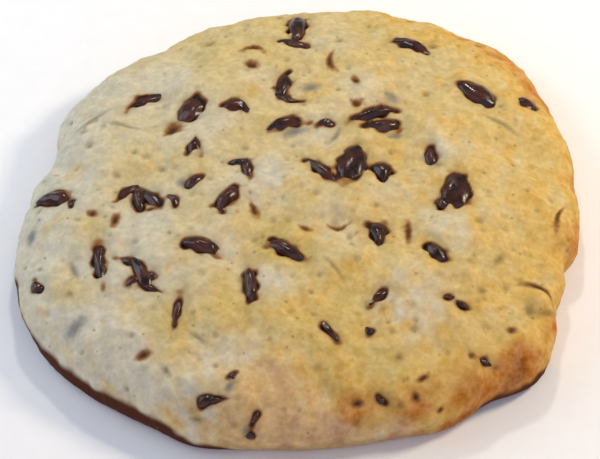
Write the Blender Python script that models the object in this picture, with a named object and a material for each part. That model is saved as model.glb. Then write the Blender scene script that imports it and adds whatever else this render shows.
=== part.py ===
"""A soft chocolate chip cookie: dough with its chips fused on, one solid.

Metres, +Z up. It rests on z = 0 and its middle is over the origin. -Y is its front.

Places on its skin are given as on a map peeled off the crown: x to the right and y to
the back, in millimetres along the skin, so that the map runs on down the sides.
"""

import random
from dataclasses import dataclass
from enum import Enum

import bmesh
import bpy
import numpy as np
from mathutils import Matrix

MM = 0.001

# Section, from the crown over the shoulder and the waist to the base, in mm
MEAN_RADIUS = 41.0
CROWN_HEIGHT = 12.4
WAIST_HEIGHT = 2.8
BASE_REACH = 0.955
SHOULDER_POWER = 2.7
SECTION_STEPS = 180

# Lobes of the outline: bearing in degrees from +X towards the back, height in mm, spread in degrees
LOBES = (
    (45, 4.5, 27),
    (76, 2.0, 5),
    (123, -1.5, 5),
    (152, 2.0, 7),
    (168, -2.5, 16),
    (173, 1.5, 4),
    (210, 4.0, 33),
    (250, 1.5, 8),
    (300, 2.0, 8),
    (320, 4.0, 9),
    (346, -1.0, 3),
    (0, 0.5, 8),
)

# The crown's place, which puts the middle of the cookie's box over the origin
CROWN_X = 0.5
CROWN_Y = -0.7

# Lumps of the dough: x, y, height, spread, in mm on the map
LUMPS = (
    (-15.0, 20.0, 0.7, 4.5),
    (-13.0, 12.0, 0.6, 3.5),
    (-2.0, -1.0, 1.3, 5.0),
    (10.0, 18.5, 0.7, 4.0),
    (1.0, 14.5, 0.4, 3.0),
    (-20.5, -13.5, 0.8, 4.0),
    (-28.5, -13.5, 0.4, 2.5),
    (18.5, -22.0, 1.3, 6.5),
    (27.0, -9.0, 1.0, 6.0),
    (3.5, -25.0, 0.7, 3.5),
    (-13.5, -25.5, 0.7, 4.0),
    (-9.0, -36.0, 0.7, 3.5),
    (-26.0, -27.0, 0.6, 3.0),
    (-19.0, -31.5, 0.6, 3.0),
    (5.5, -37.5, 0.7, 4.0),
    (14.5, -37.5, 0.7, 4.0),
    (26.0, -33.0, 0.7, 4.0),
    (31.0, 14.0, 0.6, 2.5),
    (35.0, -19.0, 0.8, 2.0),
    (-6.5, -41.5, 0.7, 1.5),
    (5.5, -5.5, 0.4, 2.0),
    (-24.0, 16.0, 0.4, 2.0),
    (-7.5, 27.0, 0.4, 2.0),
)

# Swells that no lump names: wavelength and height in mm, seed
SWELLS = ((16.0, 0.3, 11), (8.0, 0.16, 23), (4.5, 0.06, 37))
WAVES_IN_SWELL = 24
SHORTEST_WAVE = 0.8
LONGEST_WAVE = 1.25
# On the sides, past this share of the way to the base, the swells calm down to half
SIDE_START = 0.75
SIDE_END = 0.95

# The relief dies away over this last stretch of skin, so that the base stays flat
FADE_LENGTH = 4.5

# Grid of the dough, the chips' own facets, and the step that directions are measured over
GRID_CELLS = 58
CHIP_SIDES = 8
CHIP_RINGS = 6
FRAME_STEP = 0.2

# A chip's body: half height from its width, depth under the skin where the dough meets it,
# and how far around it the dough dips, in mm
CHIP_HEIGHT_SHARE = 0.25
CHIP_HEIGHT = 0.9
MEET_DEPTH = 0.15
DIP_REACH = 1.5

# How the photo shows the cookie: its frame in pixels, the camera's angle over the table in
# degrees, its distance and the point that it looks at in mm, and pixels to a mm there
FRAME_WIDTH = 600
FRAME_HEIGHT = 459
CAMERA_ELEVATION = 50
CAMERA_DISTANCE = 400
CAMERA_AIM = (0.2, -4.0, 5.0)
PIXELS_PER_MM = 6.69

# The search for the place that a pixel shows: turns, longest step in mm, and damping
SEARCH_TURNS = 60
LONGEST_STEP = 2.0
DAMPING = 0.5

# A chip is this much shorter and narrower than the dark hollow that the photo shows, in mm
GAP = 0.25

# Colours as red, green, blue and opacity, and how matt each material is
DOUGH_COLOUR = (0.62, 0.46, 0.22, 1)
DOUGH_ROUGHNESS = 0.75
CHOCOLATE_COLOUR = (0.035, 0.012, 0.008, 1)
CHOCOLATE_ROUGHNESS = 0.3


class Seat(Enum):
    """How a chip sits: lift of its top over the skin, and how deep the dough dips there, in mm."""

    PROUD = (0.7, 0.2)
    LEVEL = (0.3, 0.25)
    LOW = (0.15, 0.3)


@dataclass(frozen=True)
class Stroke:
    """A chip as read off the photo by eye.

    Its two ends are pixels of the photo's frame, counted from the top left. Its width and
    its bow to the left of the way from end to end are in mm as seen, and its taper is the
    share by which its far end is wider.
    """

    seat: Seat
    start_x: float
    start_y: float
    end_x: float
    end_y: float
    wide: float
    taper: float = 0.0
    bow: float = 0.0


@dataclass(frozen=True)
class Chip:
    """A chip on the map: seat, middle, length, width and bow in mm, turn in degrees, and taper."""

    seat: Seat
    x: float
    y: float
    long: float
    wide: float
    turn: float
    taper: float
    bow: float


# The chips that stand out of the dough: the proud ones, then the others, each from back to front
STROKES = (
    Stroke(Seat.PROUD, 297, 38, 298, 18, 2.8, 0.25),
    Stroke(Seat.PROUD, 183, 121, 201, 98, 3.0, 0.1),
    Stroke(Seat.PROUD, 353, 121, 393, 108, 1.6, -0.1, 0.2),
    Stroke(Seat.PROUD, 363, 126, 399, 122, 1.9, 0.3),
    Stroke(Seat.PROUD, 357, 147, 346, 183, 4.2, 0.15),
    Stroke(Seat.PROUD, 384, 182, 381, 160, 3.0, 0.6),
    Stroke(Seat.PROUD, 456, 84, 493, 102, 2.2, 0.35, 0.1),
    Stroke(Seat.PROUD, 455, 174, 458, 207, 4.2, 0.2),
    Stroke(Seat.PROUD, 439, 197, 446, 210, 1.6),
    Stroke(Seat.PROUD, 217, 210, 238, 188, 2.1, 0.15),
    Stroke(Seat.PROUD, 134, 184, 139, 209, 2.1, -0.1, 0.3),
    Stroke(Seat.PROUD, 37, 203, 68, 197, 1.8, 0.3, 0.1),
    Stroke(Seat.PROUD, 182, 243, 217, 251, 2.4, 0.0, 0.2),
    Stroke(Seat.PROUD, 270, 240, 305, 260, 2.1, -0.3),
    Stroke(Seat.PROUD, 249, 267, 252, 302, 2.2),
    Stroke(Seat.PROUD, 379, 246, 377, 221, 2.7, 0.65),
    Stroke(Seat.PROUD, 427, 243, 446, 262, 1.9, 0.1),
    Stroke(Seat.LEVEL, 395, 41, 425, 51, 1.5, -0.1, 0.2),
    Stroke(Seat.LEVEL, 286, 72, 281, 93, 2.1, -0.1),
    Stroke(Seat.LOW, 518, 102, 536, 106, 1.4, 0.2, 0.1),
    Stroke(Seat.LEVEL, 223, 107, 247, 111, 1.8, -0.3, 0.5),
    Stroke(Seat.LEVEL, 271, 127, 303, 121, 1.6, 0.1, 0.3),
    Stroke(Seat.LOW, 317, 125, 333, 124, 1.2, 0.1, 0.3),
    Stroke(Seat.LEVEL, 196, 138, 193, 154, 1.6, 0.6),
    Stroke(Seat.LOW, 429, 147, 433, 162, 1.6, 0.1),
    Stroke(Seat.LEVEL, 308, 162, 334, 182, 1.5, 0.1, 0.1),
    Stroke(Seat.LEVEL, 230, 161, 250, 162, 1.2, 0.4),
    Stroke(Seat.LEVEL, 246, 160, 249, 178, 1.8, -0.2),
    Stroke(Seat.LOW, 187, 186, 201, 176, 1.3),
    Stroke(Seat.LOW, 168, 195, 176, 204, 1.2, 0.1, 0.2),
    Stroke(Seat.LEVEL, 140, 187, 160, 204, 1.9, 0.2, 0.1),
    Stroke(Seat.LEVEL, 98, 244, 101, 279, 1.9, -0.2, -0.1),
    Stroke(Seat.LEVEL, 134, 259, 147, 285, 2.1, 0.15),
    Stroke(Seat.LEVEL, 33, 292, 41, 283, 1.6),
    Stroke(Seat.LOW, 372, 301, 388, 290, 1.3, 0.1),
    Stroke(Seat.LOW, 180, 300, 174, 322, 1.2, -0.2),
    Stroke(Seat.LOW, 454, 302, 468, 310, 1.0, 0.1),
    Stroke(Seat.LOW, 321, 321, 337, 340, 1.2),
    Stroke(Seat.LOW, 475, 359, 489, 365, 1.0),
    Stroke(Seat.LOW, 376, 397, 385, 403, 1.2),
    Stroke(Seat.LEVEL, 197, 404, 213, 397, 1.9, -0.1),
    Stroke(Seat.LOW, 258, 412, 252, 423, 1.0),
)


def outline(bearing):
    """Distance in mm from the middle to the waist, for bearings in degrees."""
    reach = np.full(np.shape(bearing), MEAN_RADIUS)
    for at, height, spread in LOBES:
        away = (np.asarray(bearing) - at + 180) % 360 - 180
        reach = reach + height * np.exp(-((away / spread) ** 2))
    return reach


def section():
    """Half section of the smooth cookie: reach as a share of the outline, height, and way along it."""
    lean = np.linspace(0, np.pi / 2, SECTION_STEPS + 1)
    power = 2 / SHOULDER_POWER
    rise = CROWN_HEIGHT - WAIST_HEIGHT
    tuck = 1 - BASE_REACH
    reach = np.append(np.sin(lean) ** power, BASE_REACH + tuck * np.cos(lean[1:]))
    upper = WAIST_HEIGHT + rise * np.cos(lean) ** power
    lower = WAIST_HEIGHT * (1 - np.sin(lean[1:]))
    height = np.append(upper, lower)
    steps = np.hypot(np.diff(reach * MEAN_RADIUS), np.diff(height))
    return reach, height, np.append(0, np.cumsum(steps))


REACH, HEIGHT, WALK = section()


def edge_walk(x, y):
    """Way along the skin from the crown to the base's edge, for the bearing of each place."""
    return WALK[-1] * outline(np.degrees(np.arctan2(y, x))) / MEAN_RADIUS


def smooth_skin(x, y):
    """Points in mm on the smooth cookie, for places on the map."""
    bearing = np.arctan2(y, x)
    waist = outline(np.degrees(bearing))
    walk = np.hypot(x, y) * MEAN_RADIUS / waist
    reach = waist * np.interp(walk, WALK, REACH)
    height = np.interp(walk, WALK, HEIGHT)
    across = reach * np.cos(bearing) + CROWN_X
    back = reach * np.sin(bearing) + CROWN_Y
    return np.stack([across, back, height], axis=-1)


def unit(vectors):
    """The vectors at length one."""
    return vectors / np.linalg.norm(vectors, axis=-1, keepdims=True)


def skin_frame(x, y):
    """Directions on the smooth skin: along the map's x, along its y, and outwards."""
    right = unit(smooth_skin(x + FRAME_STEP, y) - smooth_skin(x - FRAME_STEP, y))
    back = smooth_skin(x, y + FRAME_STEP) - smooth_skin(x, y - FRAME_STEP)
    out = unit(np.cross(right, back))
    return right, np.cross(out, right), out


def photo_pixels(places):
    """Pixels at which the photo shows places of the map, both as rows of two."""
    lean = np.radians(CAMERA_ELEVATION)
    ahead = np.array([0, np.cos(lean), -np.sin(lean)])
    upward = np.array([0, np.sin(lean), np.cos(lean)])
    eye = np.array(CAMERA_AIM) - CAMERA_DISTANCE * ahead
    sight = smooth_skin(places[:, 0], places[:, 1]) - eye
    scale = PIXELS_PER_MM * CAMERA_DISTANCE / (sight @ ahead)
    column = FRAME_WIDTH / 2 + scale * sight[:, 0]
    row = FRAME_HEIGHT / 2 - scale * (sight @ upward)
    return np.stack([column, row], axis=-1)


def places_on_map(pixels):
    """Places of the map that the photo shows at pixels, walked to from the crown."""
    places = np.zeros(np.shape(pixels))
    for _ in range(SEARCH_TURNS):
        here = photo_pixels(places)
        moves = [photo_pixels(places + shift) - here for shift in np.eye(2) * FRAME_STEP]
        slope = np.stack(moves, axis=-1) / FRAME_STEP
        turned = np.swapaxes(slope, 1, 2)
        miss = (pixels - here)[..., None]
        step = np.linalg.solve(turned @ slope + DAMPING * np.eye(2), turned @ miss)[..., 0]
        length = np.linalg.norm(step, axis=-1, keepdims=True)
        places = places + step / np.maximum(1, length / LONGEST_STEP)
    return places


def laid(stroke):
    """The chip that a stroke shows, laid on the map."""
    start = np.array([stroke.start_x, stroke.start_y])
    end = np.array([stroke.end_x, stroke.end_y])
    middle = (start + end) / 2
    run = end - start
    left = np.array([run[1], -run[0]]) / np.hypot(*run) * PIXELS_PER_MM
    half_wide = left * stroke.wide / 2
    bent = middle + left * stroke.bow
    pixels = np.array([start, end, middle - half_wide, middle + half_wide, middle, bent])
    places = places_on_map(pixels)
    along = places[1] - places[0]
    aside = places[3] - places[2]
    bow = places[5] - places[4]
    x, y = (places[0] + places[1]) / 2
    return Chip(
        seat=stroke.seat,
        x=x,
        y=y,
        long=np.hypot(*along) - GAP,
        wide=np.hypot(*aside) - GAP,
        turn=np.degrees(np.arctan2(along[1], along[0])),
        taper=stroke.taper,
        bow=np.hypot(*bow) * np.sign(stroke.bow),
    )


CHIPS = [laid(stroke) for stroke in STROKES]


def smooth_step(share):
    """Eases 0 to 1 in and out, and holds values outside at the ends."""
    share = np.clip(share, 0, 1)
    return share * share * (3 - 2 * share)


def fade(x, y):
    """1 over most of the skin, falling to 0 at the base's edge."""
    return smooth_step((edge_walk(x, y) - np.hypot(x, y)) / FADE_LENGTH)


def side(x, y):
    """0 on the top, rising to 1 on the sides."""
    share = np.hypot(x, y) / edge_walk(x, y)
    return smooth_step((share - SIDE_START) / (SIDE_END - SIDE_START))


def swell(x, y):
    """Height in mm of the dough's lumps and its unevenness."""
    height = np.zeros(np.shape(x))
    for wavelength, rise, seed in SWELLS:
        draw = random.Random(seed)
        for _ in range(WAVES_IN_SWELL):
            bearing = draw.uniform(0, 2 * np.pi)
            phase = draw.uniform(0, 2 * np.pi)
            rate = 2 * np.pi / (wavelength * draw.uniform(SHORTEST_WAVE, LONGEST_WAVE))
            along = x * np.cos(bearing) + y * np.sin(bearing)
            height += rise * np.sqrt(2 / WAVES_IN_SWELL) * np.sin(along * rate + phase)
    height *= 1 - side(x, y) / 2
    for at_x, at_y, rise, spread in LUMPS:
        height += rise * np.exp(-((x - at_x) ** 2 + (y - at_y) ** 2) / spread**2)
    return height


def dip(chip, x, y):
    """How deep the dough dips around a chip, in mm."""
    turn = np.radians(chip.turn)
    along = (x - chip.x) * np.cos(turn) + (y - chip.y) * np.sin(turn)
    aside = (y - chip.y) * np.cos(turn) - (x - chip.x) * np.sin(turn)
    share = np.clip(along / (chip.long / 2), -1, 1)
    aside = aside - chip.bow * (1 - share**2)
    half_wide = chip.wide / 2
    off = np.hypot(along / (chip.long / 2), aside / half_wide / (1 + chip.taper * share))
    return chip.seat.value[1] * smooth_step(1 - (off - 1) * half_wide / DIP_REACH)


def relief(x, y):
    """Height in mm of the real skin over the smooth one."""
    deepest = np.zeros(np.shape(x))
    for chip in CHIPS:
        deepest = np.maximum(deepest, dip(chip, x, y))
    return (swell(x, y) - deepest) * fade(x, y)


def skin(x, y):
    """Points in mm on the real skin. Relief never pushes the underside down."""
    out = skin_frame(x, y)[2]
    out[..., 2] = np.maximum(out[..., 2], 0)
    return smooth_skin(x, y) + relief(x, y)[..., None] * unit(out)


def grid_on_map(cells):
    """A square grid drawn out to the base's edge, as places on the map."""
    line = np.linspace(-1, 1, cells + 1)
    a, b = np.meshgrid(line, line)
    wide = np.abs(a) >= np.abs(b)
    longer = np.where(wide, a, b)
    divisor = np.where(longer == 0, 1, longer)
    turn = np.where(wide, b / divisor, 2 - a / divisor) * np.pi / 4
    x = longer * np.cos(turn)
    y = longer * np.sin(turn)
    return x * edge_walk(x, y), y * edge_walk(x, y)


def make_dough():
    """The dough, with a flat base."""
    x, y = grid_on_map(GRID_CELLS)
    points = skin(x, y).reshape(-1, 3) * MM
    per_row = GRID_CELLS + 1
    bm = bmesh.new()
    verts = [bm.verts.new(point) for point in points]
    for row in range(GRID_CELLS):
        for column in range(GRID_CELLS):
            corner = row * per_row + column
            ring = (corner, corner + 1, corner + per_row + 1, corner + per_row)
            bm.faces.new([verts[i] for i in ring])
    rim = [edge for edge in bm.edges if edge.is_boundary]
    bmesh.ops.holes_fill(bm, edges=rim, sides=0)
    bmesh.ops.recalc_face_normals(bm, faces=bm.faces)
    return finished("cookie", bm)


def make_chip(name, chip):
    """A chip's body: a faceted oval, bowed and tapered, whose part over the dough has the chip's size."""
    lift, _ = chip.seat.value
    half_high = chip.wide * CHIP_HEIGHT_SHARE + CHIP_HEIGHT
    level = 1 - (lift + MEET_DEPTH) / half_high
    growth = 1 / np.sqrt(1 - level**2)
    half_long = chip.long / 2 * growth
    half_wide = chip.wide / 2 * growth
    place = np.array(chip.x), np.array(chip.y)
    right, back, out = skin_frame(*place)
    top = smooth_skin(*place) + (swell(*place) * fade(*place) + lift) * out
    centre = top - half_high * out
    bm = bmesh.new()
    bmesh.ops.create_uvsphere(bm, u_segments=CHIP_SIDES, v_segments=CHIP_RINGS, radius=1)
    for vert in bm.verts:
        along = vert.co.x * half_long
        aside = vert.co.y * half_wide * (1 + chip.taper * vert.co.x)
        aside += chip.bow * (1 - vert.co.x**2)
        vert.co = (along * MM, aside * MM, vert.co.z * half_high * MM)
    frame = Matrix([right, back, out]).transposed().to_4x4()
    turn = Matrix.Rotation(np.radians(chip.turn), 4, "Z")
    bm.transform(Matrix.Translation(centre * MM) @ frame @ turn)
    return finished(name, bm)


def finished(name, bm):
    """An object from the mesh, shaded smooth."""
    mesh = bpy.data.meshes.new(name)
    bm.to_mesh(mesh)
    bm.free()
    mesh.shade_smooth()
    obj = bpy.data.objects.new(name, mesh)
    bpy.context.scene.collection.objects.link(obj)
    return obj


def make_material(name, colour, roughness):
    """A plain material for a sub-part."""
    material = bpy.data.materials.new(name)
    material.use_nodes = True
    shader = material.node_tree.nodes["Principled BSDF"]
    shader.inputs["Base Color"].default_value = colour
    shader.inputs["Roughness"].default_value = roughness
    return material


def fuse(cookie, pieces):
    """Joins the pieces to the cookie with one Boolean union, and removes them."""
    group = bpy.data.collections.new("chips")
    bpy.context.scene.collection.children.link(group)
    for piece in pieces:
        bpy.context.scene.collection.objects.unlink(piece)
        group.objects.link(piece)
    union = cookie.modifiers.new("union", "BOOLEAN")
    union.operation = "UNION"
    union.operand_type = "COLLECTION"
    union.collection = group
    union.solver = "EXACT"
    bpy.context.view_layer.update()
    graph = bpy.context.evaluated_depsgraph_get()
    joined = bpy.data.meshes.new_from_object(cookie.evaluated_get(graph), depsgraph=graph)
    cookie.modifiers.clear()
    cookie.data = joined
    joined.name = "cookie"
    for piece in pieces:
        bpy.data.objects.remove(piece)
    bpy.data.collections.remove(group)


def main():
    """Builds the cookie in an empty scene."""
    for obj in list(bpy.data.objects):
        bpy.data.objects.remove(obj)
    cookie = make_dough()
    cookie.data.materials.append(make_material("dough", DOUGH_COLOUR, DOUGH_ROUGHNESS))
    chocolate = make_material("chocolate", CHOCOLATE_COLOUR, CHOCOLATE_ROUGHNESS)
    pieces = []
    for number, chip in enumerate(CHIPS, start=1):
        piece = make_chip(f"chip_{number}", chip)
        piece.data.materials.append(chocolate)
        pieces.append(piece)
    fuse(cookie, pieces)


if __name__ == "__main__":
    main()
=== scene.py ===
"""Looks of a soft chocolate chip cookie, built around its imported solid.

Everything stands in metres, +Z up, where the solid stands. Places on the skin are given
as on a map peeled off the crown: x to the right and y to the back, in millimetres along
the skin, so that the map runs on down the sides.
"""

import logging
import math
import random
from dataclasses import dataclass
from enum import Enum

import bpy
import numpy as np
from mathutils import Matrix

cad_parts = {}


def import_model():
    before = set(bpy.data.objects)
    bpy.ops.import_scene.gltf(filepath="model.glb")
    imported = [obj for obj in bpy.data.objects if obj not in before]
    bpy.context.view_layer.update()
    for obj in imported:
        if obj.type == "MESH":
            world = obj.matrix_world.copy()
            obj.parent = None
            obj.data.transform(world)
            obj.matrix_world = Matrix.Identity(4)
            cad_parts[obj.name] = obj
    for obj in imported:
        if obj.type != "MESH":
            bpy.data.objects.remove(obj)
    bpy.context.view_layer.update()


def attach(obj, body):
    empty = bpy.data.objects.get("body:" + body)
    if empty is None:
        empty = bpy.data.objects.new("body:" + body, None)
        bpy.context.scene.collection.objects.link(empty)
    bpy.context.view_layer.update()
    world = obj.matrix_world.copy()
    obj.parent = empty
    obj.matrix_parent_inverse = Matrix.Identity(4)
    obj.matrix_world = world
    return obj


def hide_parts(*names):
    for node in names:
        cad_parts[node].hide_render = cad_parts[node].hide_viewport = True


LOG = logging.getLogger("cookie")
MM = 0.001

Colour = tuple[float, float, float, float]
Row = list[float]
Span = tuple[float, float]
Socket = bpy.types.NodeSocket
Inputs = dict[str | int, object]

BEND_LIMIT = 2.25
TAPER_LIMIT = 1.1
MOST_NOISE: Span = (0.35, 0.65)
WIDE_NOISE: Span = (0.25, 0.75)


@dataclass(frozen=True)
class Lobe:
    """A soft lobe of the outline: bearing from +X to the back and spread in degrees, height in mm."""

    bearing: float
    height: float
    spread: float


@dataclass(frozen=True)
class Lump:
    """A soft lump of the dough, in mm on the map."""

    x: float
    y: float
    height: float
    spread: float


@dataclass(frozen=True)
class Waves:
    """Unevenness of one size: wavelength and height in mm, and the seed of its draw."""

    length: float
    height: float
    seed: int
    count: int = 24


@dataclass(frozen=True)
class Patch:
    """A soft patch of paler, yellower or browner dough, set where the photo shows it.

    Its middle is a pixel of the photo's frame and its reach is in mm. Pale is above 0 where
    the dough is floury and below 0 where it is yellow, and toast is how much browner it is.
    On the low front rim the pale is partly painted bounce light from the floor, and one patch
    beside a chip greys the dough as painted shade.
    """

    column: float
    row: float
    reach: float
    pale: float
    toast: float = 0.0


LOBES = (
    Lobe(45, 4.5, 27),
    Lobe(76, 2.0, 5),
    Lobe(123, -1.5, 5),
    Lobe(152, 2.0, 7),
    Lobe(168, -2.5, 16),
    Lobe(173, 1.5, 4),
    Lobe(210, 4.0, 33),
    Lobe(250, 1.5, 8),
    Lobe(300, 2.0, 8),
    Lobe(320, 4.0, 9),
    Lobe(346, -1.0, 3),
    Lobe(0, 0.5, 8),
)

LUMPS = (
    Lump(-15.0, 20.0, 0.7, 4.5),
    Lump(-13.0, 12.0, 0.6, 3.5),
    Lump(-2.0, -1.0, 1.3, 5.0),
    Lump(10.0, 18.5, 0.7, 4.0),
    Lump(1.0, 14.5, 0.4, 3.0),
    Lump(-20.5, -13.5, 0.8, 4.0),
    Lump(-28.5, -13.5, 0.4, 2.5),
    Lump(18.5, -22.0, 1.3, 6.5),
    Lump(27.0, -9.0, 1.0, 6.0),
    Lump(3.5, -25.0, 0.7, 3.5),
    Lump(-13.5, -25.5, 0.7, 4.0),
    Lump(-9.0, -36.0, 0.7, 3.5),
    Lump(-26.0, -27.0, 0.6, 3.0),
    Lump(-19.0, -31.5, 0.6, 3.0),
    Lump(5.5, -37.5, 0.7, 4.0),
    Lump(14.5, -37.5, 0.7, 4.0),
    Lump(26.0, -33.0, 0.7, 4.0),
    Lump(31.0, 14.0, 0.6, 2.5),
    Lump(35.0, -19.0, 0.8, 2.0),
    Lump(-6.5, -41.5, 0.7, 1.5),
    Lump(5.5, -5.5, 0.4, 2.0),
    Lump(-24.0, 16.0, 0.4, 2.0),
    Lump(-7.5, 27.0, 0.4, 2.0),
)

PATCHES = (
    Patch(265, 283, 3.5, 0.8),
    Patch(398, 308, 7.0, 0.85),
    # Greyer dough just right of a chip: painted shade.
    Patch(225, 252, 3.0, 0.25),
    Patch(446, 232, 5.0, 0.6),
    Patch(262, 178, 5.0, 0.5),
    Patch(132, 228, 4.0, 0.4),
    Patch(165, 85, 6.0, 0.3),
    Patch(206, 125, 4.0, 0.4),
    Patch(315, 130, 4.0, 0.4),
    Patch(375, 95, 6.0, 0.3),
    Patch(445, 150, 4.0, 0.4),
    Patch(45, 345, 7.0, 1.0),
    Patch(50, 184, 4.0, 0.3),
    Patch(330, 224, 4.0, 0.4),
    Patch(110, 390, 8.0, 0.7),
    Patch(25, 260, 7.0, 0.4),
    Patch(70, 130, 6.0, 0.3),
    Patch(225, 385, 4.0, 0.5),
    Patch(85, 268, 3.0, 0.4),
    # Pale on the low front rim: partly pale dough, partly painted bounce light from the floor.
    Patch(335, 438, 5.0, 0.9),
    Patch(400, 430, 6.0, 0.9),
    Patch(290, 390, 8.0, 0.1, 0.1),
    Patch(240, 300, 5.0, -0.5),
    Patch(97, 228, 4.0, -0.5),
    Patch(68, 290, 5.0, -0.75),
    Patch(166, 315, 4.0, -0.4),
    Patch(280, 240, 5.0, -0.4),
    Patch(320, 330, 7.0, -0.5),
    Patch(362, 300, 5.0, -0.5),
    Patch(130, 165, 5.0, -0.2),
    Patch(330, 34, 5.0, 0.25),
    Patch(170, 362, 8.0, -0.25),
    Patch(392, 371, 6.0, -0.5),
    Patch(450, 182, 4.0, -0.2),
    Patch(425, 242, 5.0, -0.25),
    Patch(262, 82, 5.0, 0.2),
    Patch(402, 190, 5.0, 0.25),
    Patch(268, 376, 5.0, 0.3),
    Patch(355, 411, 3.5, -0.6, 0.38),
    Patch(418, 412, 3.5, -0.3, 0.33),
    Patch(470, 395, 5.0, -0.3, 0.33),
    Patch(516, 379, 4.5, -0.3, 0.48),
    Patch(550, 340, 5.0, 0.1, 0.12),
    Patch(562, 232, 4.0, -0.2, 0.12),
    # Low front rim: partly pale dough, partly painted bounce light from the floor.
    Patch(262, 427, 9.0, 1.0, 0.13),
)

COARSE_WAVES = (Waves(16.0, 0.3, 11), Waves(8.0, 0.16, 23), Waves(4.5, 0.06, 37))
FINE_WAVES = (Waves(2.6, 0.036, 41, 40), Waves(1.4, 0.022, 43, 60))


@dataclass(frozen=True)
class PhotoView:
    """How the photo shows the cookie: its frame in pixels, its camera in degrees and mm."""

    width: int = 600
    height: int = 459
    elevation: float = 50.0
    distance: float = 400.0
    aim: tuple[float, float, float] = (0.2, -4.0, 5.0)
    pixels_per_mm: float = 6.69
    sensor: float = 36.0

    def axes(self) -> tuple[np.ndarray, np.ndarray]:
        """The directions ahead of the camera and up across its frame.

        Returns:
            The two unit vectors.
        """
        lean = math.radians(self.elevation)
        ahead = np.array([0, math.cos(lean), -math.sin(lean)])
        return ahead, np.array([0, math.sin(lean), math.cos(lean)])

    def eye(self) -> np.ndarray:
        """Where the camera stands, in mm."""
        return np.array(self.aim) - self.distance * self.axes()[0]

    def lens(self) -> float:
        """The focal length in mm that gives the photo's scale."""
        return self.sensor * self.distance * self.pixels_per_mm / self.width

    def pixels(self, points: np.ndarray) -> np.ndarray:
        """Pixels of the photo's frame at which points show.

        Args:
            points: Points in mm, one in each row.

        Returns:
            Column and row of each, counted from the top left.
        """
        ahead, upward = self.axes()
        sight = points - self.eye()
        scale = self.pixels_per_mm * self.distance / (sight @ ahead)
        column = self.width / 2 + scale * sight[:, 0]
        row = self.height / 2 - scale * (sight @ upward)
        return np.stack([column, row], axis=-1)


def smooth_step(share: np.ndarray) -> np.ndarray:
    """Eases 0..1 in and out, and holds values outside at the ends."""
    share = np.clip(share, 0, 1)
    return share * share * (3 - 2 * share)


def unit(vectors: np.ndarray) -> np.ndarray:
    """The vectors at length one."""
    return vectors / np.linalg.norm(vectors, axis=-1, keepdims=True)


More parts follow.
